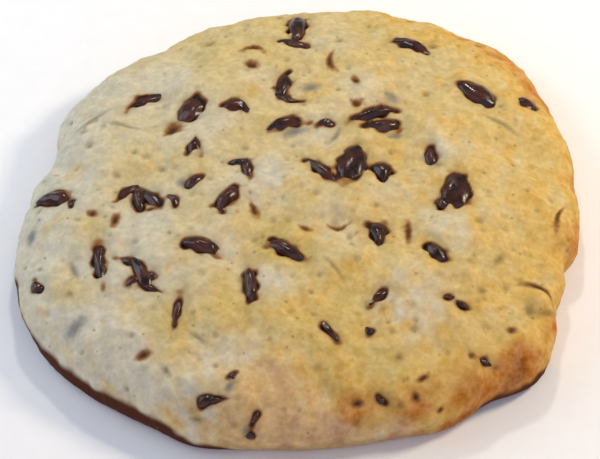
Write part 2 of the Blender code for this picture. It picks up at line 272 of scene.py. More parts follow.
class CookieForm:
    """The form that dough and chips share: outline, section and unevenness, in mm."""

    mean_radius = 41.0
    crown_height = 12.4
    waist_height = 2.8
    base_reach = 0.955
    shoulder_power = 2.7
    crown_x = 0.5
    crown_y = -0.7
    fade_length = 4.5
    frame_step = 0.2
    search_turns = 60
    longest_step = 2.0
    damping = 0.5
    side_steepness = 5.0
    side_onset = 3.75

    def __init__(self, view: PhotoView) -> None:
        """Works out the half section once.

        Args:
            view: How the photo shows the cookie.
        """
        self.view = view
        lean = np.radians(np.linspace(0, 90, 181))
        power = 2 / self.shoulder_power
        rise = self.crown_height - self.waist_height
        tuck = 1 - self.base_reach
        lower = self.base_reach + tuck * np.cos(lean[1:])
        self.reach = np.append(np.sin(lean) ** power, lower)
        upper = self.waist_height + rise * np.cos(lean) ** power
        lower = self.waist_height * (1 - np.sin(lean[1:]))
        self.height = np.append(upper, lower)
        steps = np.hypot(np.diff(self.reach * self.mean_radius), np.diff(self.height))
        self.walk = np.append(0, np.cumsum(steps))

    def outline(self, bearing: np.ndarray) -> np.ndarray:
        """Distance from the middle to the waist.

        Args:
            bearing: Degrees from +X towards the back.

        Returns:
            The distances in mm.
        """
        reach = np.full(np.shape(bearing), self.mean_radius)
        for lobe in LOBES:
            away = (bearing - lobe.bearing + 180) % 360 - 180
            reach = reach + lobe.height * np.exp(-((away / lobe.spread) ** 2))
        return reach

    def edge_walk(self, x: np.ndarray, y: np.ndarray) -> np.ndarray:
        """Way along the skin from the crown to the base's edge, for the bearing of each place."""
        bearing = np.degrees(np.arctan2(y, x))
        return self.walk[-1] * self.outline(bearing) / self.mean_radius

    def smooth_skin(self, x: np.ndarray, y: np.ndarray) -> np.ndarray:
        """Points on the smooth cookie.

        Args:
            x: Places on the map.
            y: Places on the map.

        Returns:
            The point of each place, in mm.
        """
        bearing = np.arctan2(y, x)
        waist = self.outline(np.degrees(bearing))
        walk = np.hypot(x, y) * self.mean_radius / waist
        reach = waist * np.interp(walk, self.walk, self.reach)
        height = np.interp(walk, self.walk, self.height)
        across = reach * np.cos(bearing) + self.crown_x
        back = reach * np.sin(bearing) + self.crown_y
        return np.stack([across, back, height], axis=-1)

    def skin_frame(self, x: np.ndarray, y: np.ndarray) -> tuple[np.ndarray, ...]:
        """Directions on the smooth skin.

        Args:
            x: Places on the map.
            y: Places on the map.

        Returns:
            Unit vectors along the map's x, along its y, and outwards.
        """
        step = self.frame_step
        right = unit(self.smooth_skin(x + step, y) - self.smooth_skin(x - step, y))
        back = self.smooth_skin(x, y + step) - self.smooth_skin(x, y - step)
        out = unit(np.cross(right, back))
        return right, np.cross(out, right), out

    def places_shown(self, pixels: np.ndarray) -> np.ndarray:
        """Places of the map that the photo shows at pixels, walked to from the crown.

        Args:
            pixels: Column and row in each row.

        Returns:
            x and y of each place.
        """
        places = np.zeros(np.shape(pixels))
        step = self.frame_step
        for _ in range(self.search_turns):
            here = self.view.pixels(self.smooth_skin(*places.T))
            moved = [self.smooth_skin(*(places + shift).T) for shift in np.eye(2) * step]
            slope = np.stack([self.view.pixels(points) - here for points in moved], axis=-1) / step
            turned = np.swapaxes(slope, 1, 2)
            pull = turned @ (pixels - here)[..., None]
            stride = np.linalg.solve(turned @ slope + self.damping * np.eye(2), pull)[..., 0]
            length = np.linalg.norm(stride, axis=-1, keepdims=True)
            places = places + stride / np.maximum(1, length / self.longest_step)
        return places

    def fade(self, x: np.ndarray, y: np.ndarray) -> np.ndarray:
        """1 over most of the skin, falling to 0 at the base's edge."""
        left = self.edge_walk(x, y) - np.hypot(x, y)
        return smooth_step(left / self.fade_length)

    def waves(self, x: np.ndarray, y: np.ndarray, sizes: tuple[Waves, ...]) -> np.ndarray:
        """Height of seeded unevenness.

        Args:
            x: Places on the map.
            y: Places on the map.
            sizes: The unevenness of each size.

        Returns:
            The height in mm at each place.
        """
        height = np.zeros(np.shape(x))
        for size in sizes:
            draw = random.Random(size.seed)
            for _ in range(size.count):
                bearing = draw.uniform(0, 2 * np.pi)
                phase = draw.uniform(0, 2 * np.pi)
                rate = 2 * np.pi / (size.length * draw.uniform(0.8, 1.25))
                along = x * np.cos(bearing) + y * np.sin(bearing)
                height += size.height * np.sqrt(2 / size.count) * np.sin(along * rate + phase)
        return height

    def swell(self, x: np.ndarray, y: np.ndarray) -> np.ndarray:
        """Height of the dough's lumps and its coarse unevenness, which is calmer on the sides.

        Args:
            x: Places on the map.
            y: Places on the map.

        Returns:
            The height in mm at each place.
        """
        share = np.hypot(x, y) / self.edge_walk(x, y)
        side = smooth_step(share * self.side_steepness - self.side_onset)
        height = self.waves(x, y, COARSE_WAVES) * (1 - side / 2)
        for lump in LUMPS:
            away = (x - lump.x) ** 2 + (y - lump.y) ** 2
            height += lump.height * np.exp(-away / lump.spread**2)
        return height


@dataclass(frozen=True)
class SeatSizes:
    """How far a chip's top stands over the skin, how deep the dough gives way, and its marks.

    The stain is melted chocolate, the shade is painted shade in olive in a hollow, and the veil
    a chip that shows grey through thin dough. The gap is how much smaller a chip's body is than
    the dark hollow that the photo shows.
    """

    lift: float
    pit: float
    dip: float
    stain: float = 0.0
    shade: float = 0.0
    veil: float = 0.0
    gap: float = 0.0
    has_body: bool = True


class Seat(Enum):
    """How a chip sits in the dough."""

    PROUD = SeatSizes(lift=0.7, pit=0.6, dip=0.2, stain=0.9, gap=0.25)
    LEVEL = SeatSizes(lift=0.3, pit=0.6, dip=0.25, stain=0.9, gap=0.25)
    LOW = SeatSizes(lift=0.15, pit=0.55, dip=0.3, stain=0.9, gap=0.3)
    SLIVER = SeatSizes(lift=0.05, pit=0.5, dip=0.2, stain=0.9)
    AMBER = SeatSizes(lift=0.0, pit=0.3, dip=0.15, stain=0.76, has_body=False)
    CREASE = SeatSizes(lift=0.0, pit=0.35, dip=0.1, shade=0.85, has_body=False)
    BURIED = SeatSizes(lift=0.0, pit=0.05, dip=0.1, veil=0.8, has_body=False)


@dataclass(frozen=True)
class Chip:
    """A chip or a mark of one on the map: seat, middle, length, width, turn in degrees.

    The bow is how far its middle lies aside, and the taper widens the far end.
    """

    seat: Seat
    x: float
    y: float
    long: float
    wide: float
    turn: float
    bow: float
    taper: float

    def off(self, x: np.ndarray, y: np.ndarray) -> np.ndarray:
        """How far places are from the chip's middle.

        Args:
            x: Places on the map.
            y: Places on the map.

        Returns:
            The share of the way to the edge of the chip's gap, 1 on the edge.
        """
        turn = math.radians(self.turn)
        along = (x - self.x) * math.cos(turn) + (y - self.y) * math.sin(turn)
        aside = (y - self.y) * math.cos(turn) - (x - self.x) * math.sin(turn)
        half = self.long / 2
        bend = self.bow * (1 - np.minimum((along / half) ** 2, BEND_LIMIT))
        taper = self.taper * np.clip(along / half, -TAPER_LIMIT, TAPER_LIMIT)
        girth = self.wide / 2 * (1 + taper)
        return np.hypot(along / half, (aside - bend) / girth)


@dataclass(frozen=True)
class Stroke:
    """A chip or a mark of one, as read off the photo.

    Its two ends are pixels of the photo's frame, counted from the top left. Its width and
    its bow to the left of the way from end to end are in mm as seen, and its taper is the
    share by which its far end is wider.
    """

    seat: Seat
    start_x: float
    start_y: float
    end_x: float
    end_y: float
    wide: float
    taper: float = 0.0
    bow: float = 0.0

    def laid(self, form: CookieForm) -> Chip:
        """The chip that the stroke shows, laid on the form's map.

        Args:
            form: The form that the chip lies on.

        Returns:
            The chip.
        """
        start = np.array([self.start_x, self.start_y])
        end = np.array([self.end_x, self.end_y])
        middle = (start + end) / 2
        run = end - start
        left = np.array([run[1], -run[0]]) / np.hypot(*run) * form.view.pixels_per_mm
        half_wide = left * self.wide / 2
        bent = middle + left * self.bow
        pixels = np.array([start, end, middle - half_wide, middle + half_wide, middle, bent])
        places = form.places_shown(pixels)
        along = places[1] - places[0]
        aside = places[3] - places[2]
        bow = places[5] - places[4]
        x, y = (places[0] + places[1]) / 2
        return Chip(
            seat=self.seat,
            x=float(x),
            y=float(y),
            long=float(np.hypot(*along)) - self.seat.value.gap,
            wide=float(np.hypot(*aside)) - self.seat.value.gap,
            turn=math.degrees(math.atan2(along[1], along[0])),
            bow=float(np.hypot(*bow) * np.sign(self.bow)),
            taper=self.taper,
        )


STROKES = (
    Stroke(Seat.PROUD, 297, 38, 298, 18, 2.8, 0.25),
    Stroke(Seat.PROUD, 183, 121, 201, 98, 3.0, 0.1),
    Stroke(Seat.PROUD, 353, 121, 393, 108, 1.6, -0.1, 0.2),
    Stroke(Seat.PROUD, 363, 126, 399, 122, 1.9, 0.3),
    Stroke(Seat.PROUD, 357, 147, 346, 183, 4.2, 0.15),
    Stroke(Seat.PROUD, 384, 182, 381, 160, 3.0, 0.6),
    Stroke(Seat.PROUD, 456, 84, 493, 102, 2.2, 0.35, 0.1),
    Stroke(Seat.PROUD, 455, 174, 458, 207, 4.2, 0.2),
    Stroke(Seat.PROUD, 439, 197, 446, 210, 1.6),
    Stroke(Seat.PROUD, 217, 210, 238, 188, 2.1, 0.15),
    Stroke(Seat.PROUD, 134, 184, 139, 209, 2.1, -0.1, 0.3),
    Stroke(Seat.PROUD, 37, 203, 68, 197, 1.8, 0.3, 0.1),
    Stroke(Seat.PROUD, 182, 243, 217, 251, 2.4, 0.0, 0.2),
    Stroke(Seat.PROUD, 270, 240, 305, 260, 2.1, -0.3),
    Stroke(Seat.PROUD, 249, 267, 252, 302, 2.2),
    Stroke(Seat.PROUD, 379, 246, 377, 221, 2.7, 0.65),
    Stroke(Seat.PROUD, 427, 243, 446, 262, 1.9, 0.1),
    Stroke(Seat.LEVEL, 395, 41, 425, 51, 1.5, -0.1, 0.2),
    Stroke(Seat.LEVEL, 286, 72, 281, 93, 2.1, -0.1),
    Stroke(Seat.LOW, 518, 102, 536, 106, 1.4, 0.2, 0.1),
    Stroke(Seat.LEVEL, 223, 107, 247, 111, 1.8, -0.3, 0.5),
    Stroke(Seat.LEVEL, 271, 127, 303, 121, 1.6, 0.1, 0.3),
    Stroke(Seat.LOW, 317, 125, 333, 124, 1.2, 0.1, 0.3),
    Stroke(Seat.LEVEL, 196, 138, 193, 154, 1.6, 0.6),
    Stroke(Seat.LOW, 429, 147, 433, 162, 1.6, 0.1),
    Stroke(Seat.LEVEL, 308, 162, 334, 182, 1.5, 0.1, 0.1),
    Stroke(Seat.LEVEL, 230, 161, 250, 162, 1.2, 0.4),
    Stroke(Seat.LEVEL, 246, 160, 249, 178, 1.8, -0.2),
    Stroke(Seat.LOW, 187, 186, 201, 176, 1.3),
    Stroke(Seat.LOW, 168, 195, 176, 204, 1.2, 0.1, 0.2),
    Stroke(Seat.LEVEL, 140, 187, 160, 204, 1.9, 0.2, 0.1),
    Stroke(Seat.LEVEL, 98, 244, 101, 279, 1.9, -0.2, -0.1),
    Stroke(Seat.LEVEL, 134, 259, 147, 285, 2.1, 0.15),
    Stroke(Seat.LEVEL, 33, 292, 41, 283, 1.6),
    Stroke(Seat.LOW, 372, 301, 388, 290, 1.3, 0.1),
    Stroke(Seat.LOW, 180, 300, 174, 322, 1.2, -0.2),
    Stroke(Seat.LOW, 454, 302, 468, 310, 1.0, 0.1),
    Stroke(Seat.LOW, 321, 321, 337, 340, 1.2),
    Stroke(Seat.LOW, 475, 359, 489, 365, 1.0),
    Stroke(Seat.LOW, 376, 397, 385, 403, 1.2),
    Stroke(Seat.LEVEL, 197, 404, 213, 397, 1.9, -0.1),
    Stroke(Seat.LOW, 258, 412, 252, 423, 1.0),
    Stroke(Seat.SLIVER, 283, 40, 306, 45, 0.9, 0.1),
    Stroke(Seat.SLIVER, 279, 91, 297, 100, 0.9, -0.3, -0.3),
    Stroke(Seat.SLIVER, 130, 106, 157, 95, 0.9, 0.2, 0.4),
    Stroke(Seat.SLIVER, 118, 196, 136, 185, 0.9, 0.2, 0.3),
    Stroke(Seat.SLIVER, 70, 201, 74, 205, 0.9),
    Stroke(Seat.SLIVER, 214, 208, 224, 211, 0.9),
    Stroke(Seat.SLIVER, 119, 257, 136, 262, 0.9, 0.3),
    Stroke(Seat.SLIVER, 148, 272, 153, 279, 1.2),
    Stroke(Seat.SLIVER, 128, 284, 137, 277, 0.9),
    Stroke(Seat.SLIVER, 140, 283, 157, 290, 0.9, -0.5),
    Stroke(Seat.SLIVER, 446, 299, 455, 300, 0.6),
    Stroke(Seat.SLIVER, 368, 327, 371, 335, 1.0, 0.3),
    Stroke(Seat.SLIVER, 233, 374, 234, 382, 1.0),
    Stroke(Seat.SLIVER, 208, 400, 223, 400, 0.8, -0.4),
    Stroke(Seat.SLIVER, 247, 432, 254, 434, 1.0),
    Stroke(Seat.AMBER, 242, 49, 263, 51, 0.6, 0.0, 0.5),
    Stroke(Seat.AMBER, 332, 53, 335, 69, 0.9, 0.1, -0.6),
    Stroke(Seat.AMBER, 246, 62, 257, 66, 1.2),
    Stroke(Seat.AMBER, 353, 78, 358, 86, 0.8),
    Stroke(Seat.AMBER, 271, 86, 280, 83, 0.6, 0.5),
    Stroke(Seat.AMBER, 351, 103, 362, 104, 0.8, 0.0, -0.3),
    Stroke(Seat.AMBER, 165, 133, 178, 123, 1.6, 0.5),
    Stroke(Seat.AMBER, 251, 202, 257, 214, 1.0, 0.3),
    Stroke(Seat.AMBER, 142, 207, 158, 206, 0.6, 0.0, -0.1),
    Stroke(Seat.AMBER, 564, 208, 555, 230, 0.6, 0.3, -0.4),
    Stroke(Seat.AMBER, 88, 213, 97, 216, 0.8),
    Stroke(Seat.AMBER, 118, 214, 113, 227, 1.0),
    Stroke(Seat.AMBER, 328, 224, 348, 224, 0.6, 0.0, -0.5),
    Stroke(Seat.AMBER, 300, 226, 311, 230, 0.6, 0.0, -0.1),
    Stroke(Seat.AMBER, 408, 219, 409, 240, 0.9),
    Stroke(Seat.AMBER, 524, 283, 548, 301, 0.9, 0.0, 0.4),
    Stroke(Seat.AMBER, 508, 330, 516, 330, 1.0),
    Stroke(Seat.AMBER, 136, 359, 150, 352, 1.2, 0.2),
    Stroke(Seat.AMBER, 417, 382, 428, 376, 0.8),
    Stroke(Seat.AMBER, 413, 393, 418, 402, 1.2),
    Stroke(Seat.AMBER, 352, 404, 363, 403, 1.2),
    Stroke(Seat.AMBER, 438, 411, 444, 411, 0.9),
    Stroke(Seat.BURIED, 302, 88, 318, 84, 1.3),
    Stroke(Seat.BURIED, 386, 95, 398, 101, 1.2),
    # Grey on the lens chip's lower right: painted reflection on its top.
    Stroke(Seat.BURIED, 284, 133, 305, 130, 1.0, 0.0, 0.1),
    Stroke(Seat.BURIED, 330, 142, 339, 130, 0.6, 0.0, -0.2),
    Stroke(Seat.BURIED, 390, 134, 402, 133, 0.8),
    Stroke(Seat.BURIED, 178, 181, 187, 184, 1.0),
    Stroke(Seat.BURIED, 33, 229, 29, 244, 0.8),
    Stroke(Seat.BURIED, 70, 263, 76, 275, 0.9),
    Stroke(Seat.BURIED, 66, 337, 85, 319, 1.5),
    Stroke(Seat.BURIED, 226, 392, 233, 384, 1.0),
    Stroke(Seat.BURIED, 247, 425, 246, 434, 0.9),
    Stroke(Seat.CREASE, 203, 44, 215, 42, 0.6),
    Stroke(Seat.CREASE, 428, 45, 438, 47, 0.8),
    Stroke(Seat.CREASE, 80, 132, 105, 113, 0.6),
    Stroke(Seat.CREASE, 109, 124, 138, 128, 0.5),
    Stroke(Seat.CREASE, 487, 116, 515, 130, 0.5),
    Stroke(Seat.CREASE, 433, 163, 442, 166, 0.6),
    Stroke(Seat.CREASE, 326, 261, 343, 278, 0.5, 0.0, 0.1),
    Stroke(Seat.CREASE, 493, 266, 503, 257, 0.9),
    Stroke(Seat.CREASE, 66, 292, 73, 296, 0.9),
    Stroke(Seat.CREASE, 478, 290, 485, 293, 0.9),
    Stroke(Seat.CREASE, 526, 306, 534, 316, 1.2),
    Stroke(Seat.CREASE, 536, 314, 552, 314, 0.8, 0.0, -0.1),
    Stroke(Seat.CREASE, 190, 331, 204, 341, 0.6),
    Stroke(Seat.CREASE, 394, 359, 403, 359, 0.8),
    Stroke(Seat.CREASE, 164, 368, 170, 376, 0.8),
    Stroke(Seat.CREASE, 190, 419, 203, 421, 0.8),
)


@dataclass(frozen=True)
class Pores:
    """Small round pores that open all over the top, from a seeded draw, in mm.

    The reach is how far from the crown they lie, the weakest is the least of their depth's
    share, and the rim is how much wider than its radius a pore opens.
    """

    count: int = 300
    reach: float = 44.0
    smallest: float = 0.3
    largest: float = 0.7
    depth: float = 0.3
    weakest: float = 0.4
    rim: float = 1.6
    # Painted shade: how far a pore darkens to olive.
    shade: float = 0.9
    seed: int = 7


@dataclass(frozen=True)
class Arc:
    """A stretch of the cookie's edge: its middle and spread in degrees, and an amount there."""

    middle: float
    spread: float
    amount: float

    def at(self, bearing: np.ndarray) -> np.ndarray:
        """The amount near the middle, falling to 0 at one and a half spreads from it."""
        away = np.abs((bearing - self.middle + 180) % 360 - 180)
        return self.amount * smooth_step(1.5 - away / self.spread)


@dataclass(frozen=True)
class BrowningAndPaintedLight:
    """How the oven browned the dough, plus painted light: shares of brown 0..1, and heights over the
    tray in mm.

    The tone rises to the right and the front, partly real and partly painted warm light from the
    right. The rim is the upper edge, which starts at a share of the way down the skin, the side
    is the browner dough under it, and the foot is the dark edge along the tray, partly browned
    crust and partly painted shade under the rim, with thin stretches of it besides.
    """

    tone: float = 0.16
    tone_right: float = 0.8
    tone_front: float = 0.5
    tone_shift: float = 25
    tone_width: float = 65
    uneven: float = 0.6
    rim_start: float = 0.76
    rim_early: Arc = Arc(55, 30, 0.11)
    rim_width: float = 0.18
    rim_least: float = 0.04
    rim_right: Arc = Arc(15, 55, 0.28)
    side_top: float = 4.2
    side_higher: Arc = Arc(308, 42, 3.0)
    side_wander: float = 8
    side_width: float = 6.0
    side_strength: float = 0.38
    side_paler: Arc = Arc(235, 45, 0.3)
    side_uneven: float = 0.5
    foot_wander: float = 2.5
    foot_left: Arc = Arc(220, 33, 5.0)
    foot_right: Arc = Arc(315, 10, 3.9)
    foot_width: float = 1.2
    thin_left: Arc = Arc(165, 40, 0.5)
    thin_front: Arc = Arc(282, 25, 0.3)
    thin_top: float = 3.8
    thin_width: float = 1.6
    base: float = 0.66


MARKS = ("stain", "shade", "veil", "pallor", "toast", "foot")


class Dough:
    """The cookie's dough as one closed mesh, with what colours it held as attributes."""

    name = "dough"
    cells = 300
    base_cells = 75
    pores = Pores()
    browning_and_painted_light = BrowningAndPaintedLight()
    blotches = (Waves(9.0, 0.06, 61), Waves(3.5, 0.05, 67))
    ragged = Waves(2.2, 0.16, 51, 40)
    frayed = Waves(0.9, 0.08, 53, 40)
    gap_slope = 0.5
    dip_reach = 1.5
    stain_start = 0.8
    stain_reach = 0.75
    ring_shade_depth = 0.28
    ring_shade_reach = 1.7
    mark_reach = 2.0
    mark_softness = 1.8
    lap_reach = 0.7
    lap_share = 1.0
    even_pallor = 0.22
    left_pallor = 0.49
    left_lean = 0.3
    left_width = 45
    left_onset = 0.1
    base_inset = 0.985
    base_lift = 0.06
    base_edge = 0.08
    base_hollows = Waves(5.0, 0.05, 71)

    def __init__(self, form: CookieForm, chips: list[Chip]) -> None:
        """Keeps the form that it is built on and the chips that lie in it."""
        self.form = form
        self.chips = chips

    def grid(self, cells: int) -> tuple[np.ndarray, np.ndarray]:
        """A square grid drawn out to a disc of radius 1.

        Args:
            cells: Number of cells along a side.

        Returns:
            The x and the y of each grid point.
        """
        line = np.linspace(-1, 1, cells + 1)
        a, b = np.meshgrid(line, line)
        wide = np.abs(a) >= np.abs(b)
        longer = np.where(wide, a, b)
        divisor = np.where(longer == 0, 1, longer)
        turn = np.where(wide, b / divisor, 2 - a / divisor) * np.pi / 4
        return longer * np.cos(turn), longer * np.sin(turn)

    def pore_places(self) -> list[Row]:
        """Draws the pores.

        Returns:
            The middle and the radius of each in mm on the map, and how strong it is.
        """
        draw = random.Random(self.pores.seed)
        places = []
        for _ in range(self.pores.count):
            reach = self.pores.reach * math.sqrt(draw.random())
            turn = draw.uniform(0, 2 * math.pi)
            span = self.pores.largest - self.pores.smallest
            size = self.pores.smallest + draw.random() ** 2 * span
            depth = draw.uniform(self.pores.weakest, 1.0)
            places.append([reach * math.cos(turn), reach * math.sin(turn), size, depth])
        return places

    def relief(self, x: np.ndarray, y: np.ndarray) -> tuple[np.ndarray, dict[str, np.ndarray]]:
        """Height of the real skin over the smooth one, and the marks on it.

        Args:
            x: Places on the map.
            y: Places on the map.

        Returns:
            The height in mm, and the marks 0..1 by name, at each place.
        """
        height = self.form.swell(x, y) + self.form.waves(x, y, FINE_WAVES)
        marks = {name: np.zeros(np.shape(x)) for name in MARKS}
        pit = np.zeros(np.shape(x))
        lap = np.zeros(np.shape(x))
        ragged = self.form.waves(x, y, (self.ragged,))
        frayed = self.form.waves(x, y, (self.frayed,))
        for chip in self.chips:
            sizes = chip.seat.value
            off = chip.off(x, y)
            edge = (off - 1) * chip.wide / 2
            inside = smooth_step(-edge / self.gap_slope) * sizes.pit
            around = smooth_step(1 - edge / self.dip_reach) * sizes.dip
            pit = np.maximum(pit, inside + around)
            if sizes.has_body:
                lap = np.maximum(lap, smooth_step(1 - np.abs(edge) / self.lap_reach))
                mark = smooth_step(self.stain_start - (edge + ragged) / self.stain_reach)
                # Painted shade: a soft olive ring round each chip.
                ring_shade = self.ring_shade_depth * smooth_step(1 - edge / self.ring_shade_reach)
                marks["shade"] = np.maximum(marks["shade"], ring_shade)
            else:
                mark = smooth_step((self.mark_reach - off - frayed) / self.mark_softness)
            # A crease's shade is painted shade in its dent.
            for name in ("stain", "shade", "veil"):
                marks[name] = np.maximum(marks[name], getattr(sizes, name) * mark)
        # Pores darken to olive: painted shade in the holes.
        for at_x, at_y, size, depth in self.pore_places():
            near = (np.abs(x - at_x) < 2 * size) & (np.abs(y - at_y) < 2 * size)
            away = np.hypot(x[near] - at_x, y[near] - at_y)
            hole = depth * smooth_step(1 - away / size / self.pores.rim)
            marks["shade"][near] = np.maximum(marks["shade"][near], self.pores.shade * hole)
            pit[near] = np.maximum(pit[near], hole * self.pores.depth)
        # Paler on the left: partly less baked dough, partly painted cool light from the left.
        left = smooth_step((-x - self.left_lean * y) / self.left_width + self.left_onset)
        marks["pallor"] += self.even_pallor + self.left_pallor * left
        pixels = np.array([[patch.column, patch.row] for patch in PATCHES])
        middles = self.form.places_shown(pixels)
        for patch, middle in zip(PATCHES, middles):
            away = (x - middle[0]) ** 2 + (y - middle[1]) ** 2
            share = np.exp(-away / patch.reach**2)
            marks["pallor"] += patch.pale * share
            marks["toast"] += patch.toast * share
        height = height - pit + lap * ragged * self.lap_share
        return height * self.form.fade(x, y), marks

    def bake_and_warm_light(self, x: np.ndarray, y: np.ndarray, height: np.ndarray) -> np.ndarray:
        """How brown the oven made each place, 0 pale to 1 dark, plus painted warm light to the right.

        Args:
            x: Places on the map.
            y: Places on the map.
            height: Height of each point over the tray, in mm.

        Returns:
            The browning at each place.
        """
        brown = self.browning_and_painted_light
        bearing = np.degrees(np.arctan2(y, x))
        share = np.hypot(x, y) / self.form.edge_walk(x, y)
        uneven = self.form.waves(x, y, self.blotches)
        # The tone is partly real and partly painted warm light from the right.
        lean = brown.tone_right * x - brown.tone_front * y + brown.tone_shift
        tone = brown.tone * smooth_step(lean / brown.tone_width)
        start = brown.rim_start - brown.rim_early.at(bearing)
        rim = smooth_step((share - start) / brown.rim_width)
        rim = rim * (brown.rim_least + brown.rim_right.at(bearing))
        top = brown.side_top + brown.side_higher.at(bearing) + brown.side_wander * uneven
        strength = brown.side_strength - brown.side_paler.at(bearing)
        side = smooth_step((top - height) / brown.side_width)
        side = side * (strength + brown.side_uneven * uneven)
        return np.clip(np.maximum(rim + tone + uneven * brown.uneven, side), 0, 1)

    def foot(self, x: np.ndarray, y: np.ndarray, height: np.ndarray) -> np.ndarray:
        """How dark the lowest rim is: most at the left front, thin at the right front.

        Args:
            x: Places on the map.
            y: Places on the map.
            height: Height of each point over the tray, in mm.

        Returns:
            The darkness at each place, 0 none to 1 full.
        """
        brown = self.browning_and_painted_light
        bearing = np.degrees(np.arctan2(y, x))
        wander = brown.foot_wander * self.form.waves(x, y, self.blotches)
        top = brown.foot_left.at(bearing) + brown.foot_right.at(bearing)
        # The dark foot is partly browned crust and partly painted shade under the rim.
        dark = smooth_step((top + wander - height) / brown.foot_width)
        thin = brown.thin_left.at(bearing) + brown.thin_front.at(bearing)
        low = smooth_step((brown.thin_top + wander - height) / brown.thin_width)
        return np.maximum(dark, thin * low)

    def make(self) -> bpy.types.Object:
        """Builds the dough: top and sides on a fine grid, the base on a coarser one.

        Returns:
            The dough, with its marks as attributes of its points.
        """
        unit_x, unit_y = self.grid(self.cells)
        walk = self.form.edge_walk(unit_x, unit_y)
        x, y = unit_x * walk, unit_y * walk
        height, marks = self.relief(x, y)
        out = self.form.skin_frame(x, y)[2]
        out[..., 2] = np.maximum(out[..., 2], 0)
        top = self.form.smooth_skin(x, y) + height[..., None] * unit(out)
        marks["bake_and_warm_light"] = self.bake_and_warm_light(x, y, top[..., 2]) + marks.pop("toast")
        marks["foot"] = self.foot(x, y, top[..., 2])
        points = [top.reshape(-1, 3)]
        faces = self.quads(self.cells, 0)
        base_x, base_y = self.grid(self.base_cells)
        reach = self.form.outline(np.degrees(np.arctan2(base_y, base_x)))
        reach = reach * self.form.base_reach * self.base_inset
        hollow = self.form.waves(base_x * reach, base_y * reach, (self.base_hollows,))
        inner = smooth_step((1 - np.hypot(base_x, base_y)) / self.base_edge)
        lift = np.maximum(hollow + self.base_lift, 0) * inner
        across = base_x * reach + self.form.crown_x
        back = base_y * reach + self.form.crown_y
        base = np.stack([across, back, lift], axis=-1)
        start = len(points[0])
        points.append(base.reshape(-1, 3))
        faces += [face[::-1] for face in self.quads(self.base_cells, start)]
        faces += self.seam(start)
        mesh = bpy.data.meshes.new(self.name)
        mesh.from_pydata((np.concatenate(points) * MM).tolist(), [], faces)
        base_bake = np.clip(self.browning_and_painted_light.base + hollow.reshape(-1), 0, 1)
        for name, values in marks.items():
            below = base_bake if name == "bake_and_warm_light" else np.zeros(len(points[1]))
            values = np.append(np.clip(values, 0, 1).reshape(-1), below)
            attribute = mesh.attributes.new(name, "FLOAT", "POINT")
            attribute.data.foreach_set("value", values.astype(np.float32))
        mesh.shade_smooth()
        mesh.update()
        dough = bpy.data.objects.new(self.name, mesh)
        bpy.context.scene.collection.objects.link(dough)
        return dough

    def quads(self, cells: int, start: int) -> list[tuple[int, ...]]:
        """The cells of a grid as faces.

        Args:
            cells: Number of cells along a side.
            start: Number of the grid's first point.

        Returns:
            The faces' points, anticlockwise from above.
        """
        side = cells + 1
        lines = [start + row * side for row in range(cells)]
        firsts = [line + column for line in lines for column in range(cells)]
        return [(i, i + 1, i + side + 1, i + side) for i in firsts]

    def ring(self, cells: int, start: int) -> list[int]:
        """The points round a grid's edge.

        Args:
            cells: Number of cells along a side.
            start: Number of the grid's first point.

        Returns:
            The points' numbers, anticlockwise from above.
        """
        side = cells + 1
        front = [start + i for i in range(cells)]
        right = [start + i * side + cells for i in range(cells)]
        back = [start + cells * side + cells - i for i in range(cells)]
        left = [start + (cells - i) * side for i in range(cells)]
        return front + right + back + left

    def seam(self, start: int) -> list[tuple[int, ...]]:
        """Joins the sides' lowest ring to the base's, four edges to one.

        Args:
            start: Number of the base's first point.

        Returns:
            The faces' points.
        """
        outer = self.ring(self.cells, 0)
        inner = self.ring(self.base_cells, start)
        ratio = len(outer) // len(inner)
        faces = []
        for i, point in enumerate(inner):
            following = inner[(i + 1) % len(inner)]
            first = i * ratio
            middle = outer[(first + ratio // 2) % len(outer)]
            for step in range(ratio):
                a = outer[(first + step) % len(outer)]
                b = outer[(first + step + 1) % len(outer)]
                faces.append((b, a, point if step < ratio // 2 else following))
            faces.append((point, following, middle))
        return faces


